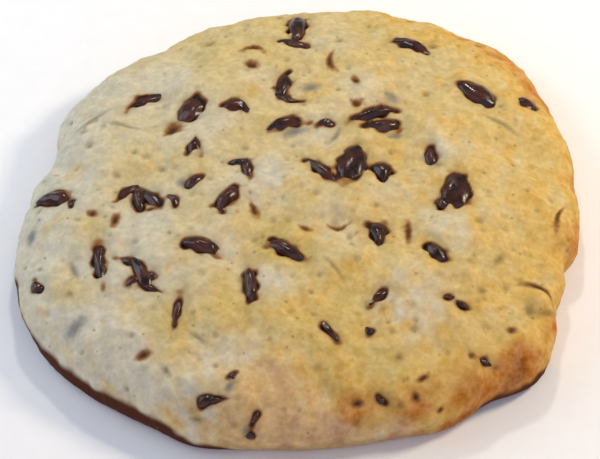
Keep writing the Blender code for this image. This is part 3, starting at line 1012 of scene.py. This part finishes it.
class NodeTree:
    """Short calls for filling a node tree."""

    def __init__(self, tree: bpy.types.NodeTree) -> None:
        """Keeps the tree and empties it."""
        self.tree = tree
        tree.nodes.clear()

    def add(self, kind: str, inputs: Inputs | None = None, **settings: object) -> bpy.types.Node:
        """Adds a node.

        Args:
            kind: The node's type name.
            inputs: What its inputs take, by name or number: an output to link, or a value.
            **settings: Properties of the node.

        Returns:
            The new node.
        """
        node = self.tree.nodes.new(kind)
        for name, value in settings.items():
            setattr(node, name, value)
        for key, value in (inputs or {}).items():
            if isinstance(value, Socket):
                self.tree.links.new(value, node.inputs[key])
            elif value is not None:
                node.inputs[key].default_value = value
        return node

    def math(self, operation: str, first: object, second: object = None) -> Socket:
        """A Math node's result."""
        node = self.add("ShaderNodeMath", {0: first, 1: second}, operation=operation)
        return node.outputs[0]

    def vector(self, operation: str, first: object, second: object = None) -> Socket:
        """A Vector Math node's result."""
        inputs = {0: first, "Scale" if operation == "SCALE" else 1: second}
        return self.add("ShaderNodeVectorMath", inputs, operation=operation).outputs["Vector"]

    def span(self, value: object, low: float, high: float, to: Span = (0, 1)) -> Socket:
        """Maps a value from one span onto another, eased at both ends and clamped.

        Args:
            value: The value.
            low: Start of its span.
            high: End of its span.
            to: Start and end of the new span.

        Returns:
            The mapped value.
        """
        inputs = {"Value": value, "From Min": low, "From Max": high}
        inputs |= {"To Min": to[0], "To Max": to[1]}
        settings = {"interpolation_type": "SMOOTHSTEP", "clamp": True}
        return self.add("ShaderNodeMapRange", inputs, **settings).outputs["Result"]

    def blend(self, share: object, first: object, second: object) -> Socket:
        """Mixes two colours by a share."""
        node = self.add("ShaderNodeMix", {0: share, 6: first, 7: second}, data_type="RGBA")
        return node.outputs[2]

    def noise(self, place: object, scale: float, detail: float = 2, rough: float = 0.5) -> Socket:
        """A noise texture's value at a place."""
        inputs = {"Vector": place, "Scale": scale, "Detail": detail, "Roughness": rough}
        return self.add("ShaderNodeTexNoise", inputs).outputs["Fac"]

    def note(self, geometry: Socket, name: str) -> Socket:
        """Keeps each point's position under a name.

        Args:
            geometry: The points.
            name: The name.

        Returns:
            The points with the named positions.
        """
        where = self.add("GeometryNodeInputPosition").outputs[0]
        inputs = {"Geometry": geometry, "Name": name, "Value": where}
        settings = {"data_type": "FLOAT_VECTOR", "domain": "POINT"}
        return self.add("GeometryNodeStoreNamedAttribute", inputs, **settings).outputs["Geometry"]


def open_sockets(group: bpy.types.NodeTree, taken: dict[str, str], given: dict[str, str]) -> None:
    """Gives a node group its named inputs and outputs.

    Args:
        group: The node group.
        taken: Kind of value of each input, by name.
        given: Kind of value of each output, by name.
    """
    for way, kinds in (("INPUT", taken), ("OUTPUT", given)):
        for name, kind in kinds.items():
            group.interface.new_socket(name, in_out=way, socket_type="NodeSocket" + kind)


def new_material(name: str) -> tuple[bpy.types.Material, NodeTree, Socket]:
    """Starts a material.

    Args:
        name: The material's name.

    Returns:
        The material, its empty node tree, and the place on the piece.
    """
    material = bpy.data.materials.new(name)
    material.use_nodes = True
    tree = NodeTree(material.node_tree)
    return material, tree, tree.add("ShaderNodeTexCoord").outputs["Object"]


def fine_grain_group() -> bpy.types.ShaderNodeTree:
    """A crumbly grain that dough, chocolate and floor all use in their own sizes.

    Returns:
        A group with inputs Vector, Scale and Sharpness and outputs Height and Mask.
    """
    group = bpy.data.node_groups.new("fine grain", "ShaderNodeTree")
    taken = {"Vector": "Vector", "Scale": "Float", "Sharpness": "Float"}
    open_sockets(group, taken, {"Height": "Float", "Mask": "Float"})
    speck_fineness = 1.7
    mask_span = (-0.1, 0.55)
    tree = NodeTree(group)
    given = tree.add("NodeGroupInput").outputs
    inputs = {"Vector": given["Vector"], "Scale": given["Scale"], "Smoothness": 0.6}
    cells = tree.add("ShaderNodeTexVoronoi", inputs, feature="SMOOTH_F1")
    finer = tree.math("MULTIPLY", given["Scale"], speck_fineness)
    speck = tree.add("ShaderNodeTexNoise", {"Vector": given["Vector"], "Scale": finer, "Detail": 3})
    sharp = tree.math("MULTIPLY", cells.outputs["Distance"], given["Sharpness"])
    height = tree.math("SUBTRACT", speck.outputs["Fac"], sharp)
    tree.add("NodeGroupOutput", {"Height": height, "Mask": tree.span(height, *mask_span)})
    return group


@dataclass(frozen=True)
class Speckle:
    """Noise in a colour: its scale per metre, and how far it darkens and lightens."""

    scale: float
    dark: float
    light: float

    def shown(self, tree: NodeTree, place: Socket) -> Socket:
        """The factor by which it changes the colour at a place."""
        noise = tree.noise(place, self.scale, 1, 0.6)
        return tree.span(noise, *WIDE_NOISE, (self.dark, self.light))


@dataclass(frozen=True)
class DoughFinish:
    """Matt baked dough: pale and straw mottling, browned rim and base, stains round the chips.

    Scales are per metre. A share is how much of its colour a mark brings, and a span is where
    the next colour starts and where it is full. The olive of holes, creases and chip rings is
    painted shade, the dark foot is partly painted shade, and the rosy tint is painted bounce light.
    """

    grain: bpy.types.ShaderNodeTree
    pale: Colour = (0.56, 0.51, 0.38, 1)
    straw: Colour = (0.55, 0.412, 0.148, 1)
    gold: Colour = (0.59, 0.385, 0.105, 1)
    brown: Colour = (0.47, 0.19, 0.04, 1)
    umber: Colour = (0.21, 0.062, 0.013, 1)
    dark: Colour = (0.07, 0.017, 0.005, 1)
    olive: Colour = (0.14, 0.1, 0.035, 1)
    grey: Colour = (0.12, 0.12, 0.125, 1)
    amber: Colour = (0.24, 0.1, 0.025, 1)
    rosy: Colour = (0.5, 0.36, 0.29, 1)
    fleck: tuple[float, float, float] = (0.42, 0.37, 0.23)
    chocolate: Colour = (0.025, 0.006, 0.004, 1)
    pale_span: Span = (0.0, 0.88)
    gold_span: Span = (0.0, 0.3)
    brown_span: Span = (0.22, 0.6)
    umber_span: Span = (0.55, 0.9)
    floury_span: Span = (0.5, 1.0)
    rosy_span: Span = (0.1, 0.35)
    amber_span: Span = (0.0, 0.6)
    chocolate_span: Span = (0.5, 0.85)
    rosy_share: float = 0.42
    shade_share: float = 0.7
    veil_share: float = 0.92
    sandy: Speckle = Speckle(1500, 0.92, 1.08)
    lumpy: Speckle = Speckle(600, 0.87, 1.13)
    mottle_scale: float = 160
    mottle_share: float = 0.13
    blotch_scale: float = 330
    blotch_share: float = 0.3
    pinhole_scale: float = 650
    pinhole_draw: Span = (0.3, 1.0)
    pinhole_size: float = 0.26
    pinhole_edge: float = 0.16
    pinhole_share: float = 0.45
    grain_scale: float = 900
    grain_sharpness: float = 0.7
    bump: float = 0.22
    bump_depth: float = 0.0002
    roughness: float = 0.78
    stain_roughness: float = 0.5
    gloss_span: Span = (0.3, 0.9)
    subsurface: float = 0.12
    subsurface_radius: tuple[float, float, float] = (1.0, 0.6, 0.3)
    subsurface_scale: float = 0.002
    specular: float = 0.15

    def build(self) -> bpy.types.Material:
        """Makes the material.

        Returns:
            The material.
        """
        material, tree, place = new_material("dough")
        marks = {}
        for name in ("stain", "shade", "veil", "pallor", "bake_and_warm_light", "foot"):
            marks[name] = tree.add("ShaderNodeAttribute", attribute_name=name).outputs["Fac"]
        pinholes = self.pinholes(tree, place)
        inputs = {"Vector": place, "Scale": self.grain_scale, "Sharpness": self.grain_sharpness}
        grain = tree.add("ShaderNodeGroup", inputs, node_tree=self.grain)
        base = self.flecked(tree, place, self.baked(tree, place, marks), marks["foot"])
        # Olive from the pinholes and the shade mark is painted shade in holes, creases and round the
        # chips.
        base = tree.blend(tree.math("MULTIPLY", pinholes, self.pinhole_share), base, self.olive)
        shade = tree.math("MULTIPLY", marks["shade"], self.shade_share)
        base = tree.blend(shade, base, self.olive)
        veil = tree.math("MULTIPLY", marks["veil"], self.veil_share)
        base = tree.blend(veil, base, self.grey)
        base = tree.blend(tree.span(marks["stain"], *self.amber_span), base, self.amber)
        base = tree.blend(tree.span(marks["stain"], *self.chocolate_span), base, self.chocolate)
        rough = (self.roughness, self.stain_roughness)
        gloss = tree.span(marks["stain"], *self.gloss_span, rough)
        relief = tree.math("SUBTRACT", grain.outputs["Height"], pinholes)
        inputs = {"Strength": self.bump, "Distance": self.bump_depth, "Height": relief}
        bump = tree.add("ShaderNodeBump", inputs)
        inputs = {
            "Base Color": base,
            "Roughness": gloss,
            "Subsurface Weight": self.subsurface,
            "Subsurface Radius": self.subsurface_radius,
            "Subsurface Scale": self.subsurface_scale,
            "Specular IOR Level": self.specular,
            "Normal": bump.outputs["Normal"],
        }
        shader = tree.add("ShaderNodeBsdfPrincipled", inputs)
        tree.add("ShaderNodeOutputMaterial", {"Surface": shader.outputs["BSDF"]})
        return material

    def pinholes(self, tree: NodeTree, place: Socket) -> Socket:
        """Tiny round holes of uneven size, in most cells of 1.5 mm.

        Args:
            tree: The material's node tree.
            place: The place on the dough.

        Returns:
            1 in a hole, 0 between holes.
        """
        inputs = {"Vector": place, "Scale": self.pinhole_scale}
        cells = tree.add("ShaderNodeTexVoronoi", inputs, feature="F1")
        size = tree.span(cells.outputs["Color"], *self.pinhole_draw, (0.0, self.pinhole_size))
        inside = tree.math("SUBTRACT", size, cells.outputs["Distance"])
        return tree.span(inside, 0.0, self.pinhole_edge)

    def baked(self, tree: NodeTree, place: Socket, marks: dict[str, Socket]) -> Socket:
        """Colour of the dough from pale lumps over straw and gold to the dark foot.

        Args:
            tree: The material's node tree.
            place: The place on the dough.
            marks: The marks there, by name.

        Returns:
            The colour.
        """
        mottle = tree.span(tree.noise(place, self.mottle_scale, 0), *MOST_NOISE)
        mottle = tree.math("MULTIPLY", tree.math("SUBTRACT", mottle, 0.5), self.mottle_share)
        share = tree.math("ADD", marks["pallor"], mottle)
        base = tree.blend(tree.span(share, *self.pale_span), self.straw, self.pale)
        blotches = tree.math("SUBTRACT", tree.noise(place, self.blotch_scale, 0), 0.5)
        blotches = tree.math("ADD", 1.0, tree.math("MULTIPLY", blotches, self.blotch_share))
        # This share also carries the painted warm light to the right.
        toast_and_warm_light = tree.math("MULTIPLY", marks["bake_and_warm_light"], blotches)
        base = tree.blend(tree.span(toast_and_warm_light, *self.gold_span), base, self.gold)
        base = tree.blend(tree.span(toast_and_warm_light, *self.brown_span), base, self.brown)
        base = tree.blend(tree.span(toast_and_warm_light, *self.umber_span), base, self.umber)
        # Rosy tint where pale dough is lightly browned: painted bounce light from the floor, mostly
        # on the low front rim.
        rosy = tree.math("MULTIPLY", tree.span(marks["pallor"], *self.floury_span), self.rosy_share)
        rosy = tree.math("MULTIPLY", rosy, tree.span(toast_and_warm_light, *self.rosy_span))
        base = tree.blend(rosy, base, self.rosy)
        # The dark foot: partly browned crust, partly painted shade under the rim.
        return tree.blend(marks["foot"], base, self.dark)

    def flecked(self, tree: NodeTree, place: Socket, base: Socket, foot: Socket) -> Socket:
        """The colour with lighter and darker flecks, save on the smooth dark foot.

        Args:
            tree: The material's node tree.
            place: The place on the dough.
            base: The colour without flecks.
            foot: The mark of the foot.

        Returns:
            The colour with flecks.
        """
        flecks = tree.math("MULTIPLY", self.sandy.shown(tree, place), self.lumpy.shown(tree, place))
        flecks = tree.math("SUBTRACT", flecks, 1.0)
        flecks = tree.math("MULTIPLY", flecks, tree.math("SUBTRACT", 1.0, foot))
        return tree.vector("ADD", base, tree.vector("SCALE", self.fleck, flecks))


@dataclass(frozen=True)
class ChocolateFinish:
    """Dark chocolate with a soft gloss and pale spots, part whitish film and part painted sheen,
    scales per metre.
    """

    grain: bpy.types.ShaderNodeTree
    deep: Colour = (0.012, 0.0022, 0.0016, 1)
    warm: Colour = (0.058, 0.0125, 0.006, 1)
    bloom_and_sheen: Colour = (0.2, 0.13, 0.125, 1)
    bloom_and_sheen_scale: float = 430
    bloom_and_sheen_span: Span = (0.6, 0.75)
    bloom_and_sheen_share: float = 0.15
    cloud_scale: float = 500
    grain_scale: float = 1100
    grain_sharpness: float = 0.3
    bump: float = 0.12
    bump_depth: float = 0.0002
    roughness: Span = (0.1, 0.3)
    specular: float = 0.42

    def build(self) -> bpy.types.Material:
        """Makes the material.

        Returns:
            The material.
        """
        material, tree, place = new_material("chocolate")
        inputs = {"Vector": place, "Scale": self.grain_scale, "Sharpness": self.grain_sharpness}
        grain = tree.add("ShaderNodeGroup", inputs, node_tree=self.grain)
        cloud = tree.span(tree.noise(place, self.cloud_scale, 3), *MOST_NOISE)
        base = tree.blend(cloud, self.deep, self.warm)
        # Pale spots: part whitish film on the chocolate, part painted sheen.
        spots = tree.noise(place, self.bloom_and_sheen_scale, 2)
        spots = tree.span(spots, *self.bloom_and_sheen_span, (0, self.bloom_and_sheen_share))
        inputs = {
            "Strength": self.bump,
            "Distance": self.bump_depth,
            "Height": grain.outputs["Height"],
        }
        bump = tree.add("ShaderNodeBump", inputs)
        inputs = {
            "Base Color": tree.blend(spots, base, self.bloom_and_sheen),
            "Roughness": tree.span(grain.outputs["Mask"], 0, 1, self.roughness),
            "Specular IOR Level": self.specular,
            "Normal": bump.outputs["Normal"],
        }
        shader = tree.add("ShaderNodeBsdfPrincipled", inputs)
        tree.add("ShaderNodeOutputMaterial", {"Surface": shader.outputs["BSDF"]})
        return material


class ChipBatch:
    """All chips as one mesh, placed and shaped by a Geometry Nodes tree."""

    name = "chips"
    vectors = ("along", "aside", "out", "size", "drift")
    meet_level = -0.15
    least_height = 0.9
    height_share = 0.25
    farthest_drift = 50
    facets = 4
    unevenness = 0.42
    lump_scale = 1.3
    seed = 5

    def __init__(self, form: CookieForm, chips: list[Chip], finish: bpy.types.Material) -> None:
        """Keeps what the batch is made from.

        Args:
            form: The form that the chips lie in.
            chips: The chips.
            finish: Their material.
        """
        self.form = form
        self.chips = [chip for chip in chips if chip.seat.value.has_body]
        self.finish = finish

    def seeds(self) -> bpy.types.Object:
        """Makes one point for each chip.

        Returns:
            The points, holding the chips' directions and half sizes as attributes.
        """
        rows: dict[str, list[Row]] = {name: [] for name in ("place", *self.vectors)}
        draw = random.Random(self.seed)
        for chip in self.chips:
            x, y = np.array(chip.x), np.array(chip.y)
            right, back, out = self.form.skin_frame(x, y)
            turn = math.radians(chip.turn)
            lift = chip.seat.value.lift
            high = chip.wide * self.height_share + self.least_height
            level = (high - lift + self.meet_level) / high
            spread = 1 / math.sqrt(1 - level**2)
            swell = self.form.swell(x, y) * self.form.fade(x, y)
            centre = self.form.smooth_skin(x, y) + (swell + lift - high) * out
            half = (chip.long / 2 * spread, chip.wide / 2 * spread, high)
            rows["place"].append((centre * MM).tolist())
            rows["along"].append((right * math.cos(turn) + back * math.sin(turn)).tolist())
            rows["aside"].append((back * math.cos(turn) - right * math.sin(turn)).tolist())
            rows["out"].append(out.tolist())
            rows["size"].append([value * MM for value in half])
            rows["drift"].append([draw.uniform(0, self.farthest_drift) for _ in range(3)])
        mesh = bpy.data.meshes.new("chip seeds")
        mesh.from_pydata(rows["place"], [], [])
        for name in self.vectors:
            attribute = mesh.attributes.new(name, "FLOAT_VECTOR", "POINT")
            attribute.data.foreach_set("vector", np.array(rows[name], np.float32).reshape(-1))
        bows = [chip.bow * MM for chip in self.chips]
        tapers = [chip.taper for chip in self.chips]
        for name, values in (("bow", bows), ("taper", tapers)):
            attribute = mesh.attributes.new(name, "FLOAT", "POINT")
            attribute.data.foreach_set("value", np.array(values, np.float32))
        points = bpy.data.objects.new("chip seeds", mesh)
        bpy.context.scene.collection.objects.link(points)
        return points

    def tree(self) -> bpy.types.GeometryNodeTree:
        """Puts a rounded body on each point, then bends and roughens it in the point's directions.

        Returns:
            The tree, with inputs Geometry, Unevenness and Facets.
        """
        group = bpy.data.node_groups.new("chip batch", "GeometryNodeTree")
        taken = {"Geometry": "Geometry", "Unevenness": "Float", "Facets": "Int"}
        open_sockets(group, taken, {"Geometry": "Geometry"})
        tree = NodeTree(group)
        given = tree.add("NodeGroupInput").outputs
        body = tree.add("GeometryNodeMeshIcoSphere", {"Subdivisions": given["Facets"]})
        body = tree.note(body.outputs["Mesh"], "local")
        points = tree.note(given["Geometry"], "place")
        copies = tree.add("GeometryNodeInstanceOnPoints", {"Points": points, "Instance": body})
        whole = tree.add("GeometryNodeRealizeInstances", {"Geometry": copies.outputs["Instances"]})
        kinds = dict.fromkeys(("local", "place", *self.vectors), "FLOAT_VECTOR")
        kinds |= {"bow": "FLOAT", "taper": "FLOAT"}
        named = {}
        for name, kind in kinds.items():
            node = tree.add("GeometryNodeInputNamedAttribute", {"Name": name}, data_type=kind)
            named[name] = node.outputs["Attribute"]
        drifted = tree.vector("ADD", named["local"], named["drift"])
        rough = tree.math("SUBTRACT", tree.noise(drifted, self.lump_scale, 2), 0.5)
        rough = tree.math("MULTIPLY", rough, given["Unevenness"])
        grown = tree.vector("SCALE", named["local"], tree.math("ADD", 1.0, rough))
        scaled = tree.vector("MULTIPLY", grown, named["size"])
        parts = tree.add("ShaderNodeSeparateXYZ", {0: scaled}).outputs
        local = tree.add("ShaderNodeSeparateXYZ", {0: named["local"]}).outputs[0]
        arch = tree.math("POWER", tree.math("ABSOLUTE", local), 2.0)
        arch = tree.math("SUBTRACT", 1.0, arch)
        girth = tree.math("ADD", 1.0, tree.math("MULTIPLY", local, named["taper"]))
        sideways = tree.math("MULTIPLY", parts[1], girth)
        sideways = tree.math("ADD", sideways, tree.math("MULTIPLY", arch, named["bow"]))
        moved = named["place"]
        for direction, length in (("along", parts[0]), ("aside", sideways), ("out", parts[2])):
            moved = tree.vector("ADD", moved, tree.vector("SCALE", named[direction], length))
        inputs = {"Geometry": whole.outputs["Geometry"], "Position": moved}
        shaped = tree.add("GeometryNodeSetPosition", inputs)
        inputs = {"Geometry": shaped.outputs["Geometry"]}
        soft = tree.add("GeometryNodeSetShadeSmooth", inputs)
        inputs = {"Geometry": soft.outputs["Geometry"], "Material": self.finish}
        dressed = tree.add("GeometryNodeSetMaterial", inputs)
        tree.add("NodeGroupOutput", {0: dressed.outputs["Geometry"]})
        return group

    def make(self) -> bpy.types.Object:
        """Builds the chips as one piece."""
        settings = {"Unevenness": self.unevenness, "Facets": self.facets}
        return made_by_nodes(self.name, self.seeds(), self.tree(), settings)


def made_by_nodes(
    name: str,
    source: bpy.types.Object,
    group: bpy.types.GeometryNodeTree,
    settings: dict[str, object],
) -> bpy.types.Object:
    """Runs a Geometry Nodes tree on an object and keeps its result as a plain mesh.

    Args:
        name: The new piece's name.
        source: The object that the tree works on, which is removed.
        group: The tree.
        settings: The tree's inputs, by name.

    Returns:
        The new piece.
    """
    modifier = source.modifiers.new("shape", "NODES")
    modifier.node_group = group
    for item in group.interface.items_tree:
        if item.item_type == "SOCKET" and item.in_out == "INPUT" and item.name in settings:
            modifier[item.identifier] = settings[item.name]
    graph = bpy.context.evaluated_depsgraph_get()
    mesh = bpy.data.meshes.new_from_object(source.evaluated_get(graph), depsgraph=graph)
    mesh.name = name
    source.modifiers.clear()
    bpy.data.objects.remove(source)
    piece = bpy.data.objects.new(name, mesh)
    bpy.context.scene.collection.objects.link(piece)
    return piece


@dataclass(frozen=True)
class SoftLight:
    """A soft square light that faces the cookie.

    Its azimuth is in degrees from +X towards the back, where it stands, and its elevation in
    degrees over the floor. Its side and its distance are in metres, its power in watts.
    """

    name: str
    azimuth: float
    elevation: float
    side: float
    power: float
    colour: tuple[float, float, float]
    away: float


LIGHTS = (
    SoftLight("window", 165, 33, 0.2, 0.32, (0.68, 0.85, 1.0), 0.25),
    SoftLight("lamp", 14, 40, 0.06, 0.46, (1.0, 0.86, 0.64), 0.28),
    SoftLight("glint", 90, 52, 0.023, 0.19, (1.0, 0.9, 0.84), 0.28),
    SoftLight("fill", 272, 26, 0.9, 1.7, (0.84, 0.75, 1.0), 0.5),
)


class Studio:
    """Plain pale floor, soft light from all sides and a camera at the photo's angle."""

    floor_half = 1.5
    floor_shades: tuple[Colour, Colour] = ((0.86, 0.86, 0.86, 1), (0.88, 0.88, 0.88, 1))
    floor_grain_scale = 300
    floor_grain_sharpness = 0.4
    floor_roughness = 0.9
    surround_colour: Colour = (1.0, 1.0, 1.0, 1)
    surround_strength = 0.28

    def __init__(self, view: PhotoView) -> None:
        """Keeps the photo's view."""
        self.view = view

    def camera(self) -> None:
        """Adds the camera."""
        lens = bpy.data.cameras.new("camera")
        lens.lens = self.view.lens()
        lens.sensor_width = self.view.sensor
        lens.clip_start = 0.01
        camera = bpy.data.objects.new("camera", lens)
        camera.location = self.view.eye() * MM
        camera.rotation_euler = (math.radians(90 - self.view.elevation), 0, 0)
        bpy.context.scene.collection.objects.link(camera)
        bpy.context.scene.camera = camera

    def light(self, light: SoftLight) -> None:
        """Adds a light.

        Args:
            light: What it is and where it stands.
        """
        data = bpy.data.lights.new(light.name, "AREA")
        data.shape = "SQUARE"
        data.size = light.side
        data.energy = light.power
        data.color = light.colour
        turn, lean = math.radians(light.azimuth), math.radians(light.elevation)
        lamp = bpy.data.objects.new(light.name, data)
        lamp.location = (
            light.away * math.cos(lean) * math.cos(turn),
            light.away * math.cos(lean) * math.sin(turn),
            light.away * math.sin(lean),
        )
        lamp.rotation_euler = lamp.location.to_track_quat("Z", "Y").to_euler()
        lamp.visible_camera = False
        bpy.context.scene.collection.objects.link(lamp)

    def world(self) -> None:
        """Adds an even pale surround."""
        world = bpy.data.worlds.new("surround")
        world.use_nodes = True
        ground = world.node_tree.nodes["Background"]
        ground.inputs["Color"].default_value = self.surround_colour
        ground.inputs["Strength"].default_value = self.surround_strength
        bpy.context.scene.world = world
        bpy.context.scene.view_settings.view_transform = "Standard"

    def floor(self, grain: bpy.types.ShaderNodeTree) -> None:
        """Adds the floor.

        Args:
            grain: The grain of its surface.
        """
        half = self.floor_half
        mesh = bpy.data.meshes.new("floor")
        corners = [(-half, -half, 0), (half, -half, 0), (half, half, 0), (-half, half, 0)]
        mesh.from_pydata(corners, [], [(0, 1, 2, 3)])
        material, tree, place = new_material("floor")
        inputs = {"Vector": place, "Scale": self.floor_grain_scale}
        inputs["Sharpness"] = self.floor_grain_sharpness
        speck = tree.add("ShaderNodeGroup", inputs, node_tree=grain)
        base = tree.blend(speck.outputs["Mask"], *self.floor_shades)
        inputs = {"Base Color": base, "Roughness": self.floor_roughness}
        shader = tree.add("ShaderNodeBsdfPrincipled", inputs)
        tree.add("ShaderNodeOutputMaterial", {"Surface": shader.outputs["BSDF"]})
        mesh.materials.append(material)
        floor = bpy.data.objects.new("floor", mesh)
        bpy.context.scene.collection.objects.link(floor)

    def build(self, grain: bpy.types.ShaderNodeTree) -> None:
        """Sets up the whole studio.

        Args:
            grain: The grain of the floor.
        """
        self.camera()
        self.world()
        self.floor(grain)
        for light in LIGHTS:
            self.light(light)
        LOG.info("studio is set")


def corners(box: tuple) -> list[Row]:
    """A box's two corners as plain lists."""
    return [[float(value) for value in corner] for corner in box]


def main() -> None:
    """Builds the cookie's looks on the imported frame."""
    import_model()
    grain = fine_grain_group()
    view = PhotoView()
    Studio(view).build(grain)
    form = CookieForm(view)
    laid = [stroke.laid(form) for stroke in STROKES]
    dough = Dough(form, laid).make()
    dough.data.materials.append(DoughFinish(grain).build())
    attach(dough, "root")
    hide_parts("cookie")
    LOG.info("%s: %d faces", dough.name, len(dough.data.polygons))
    chips = ChipBatch(form, laid, ChocolateFinish(grain).build()).make()
    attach(chips, "root")
    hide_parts("cookie")
    LOG.info("%s: %d faces", chips.name, len(chips.data.polygons))


if __name__ == "__main__":
    logging.basicConfig(level=logging.INFO, format="%(name)s: %(message)s")
    main()
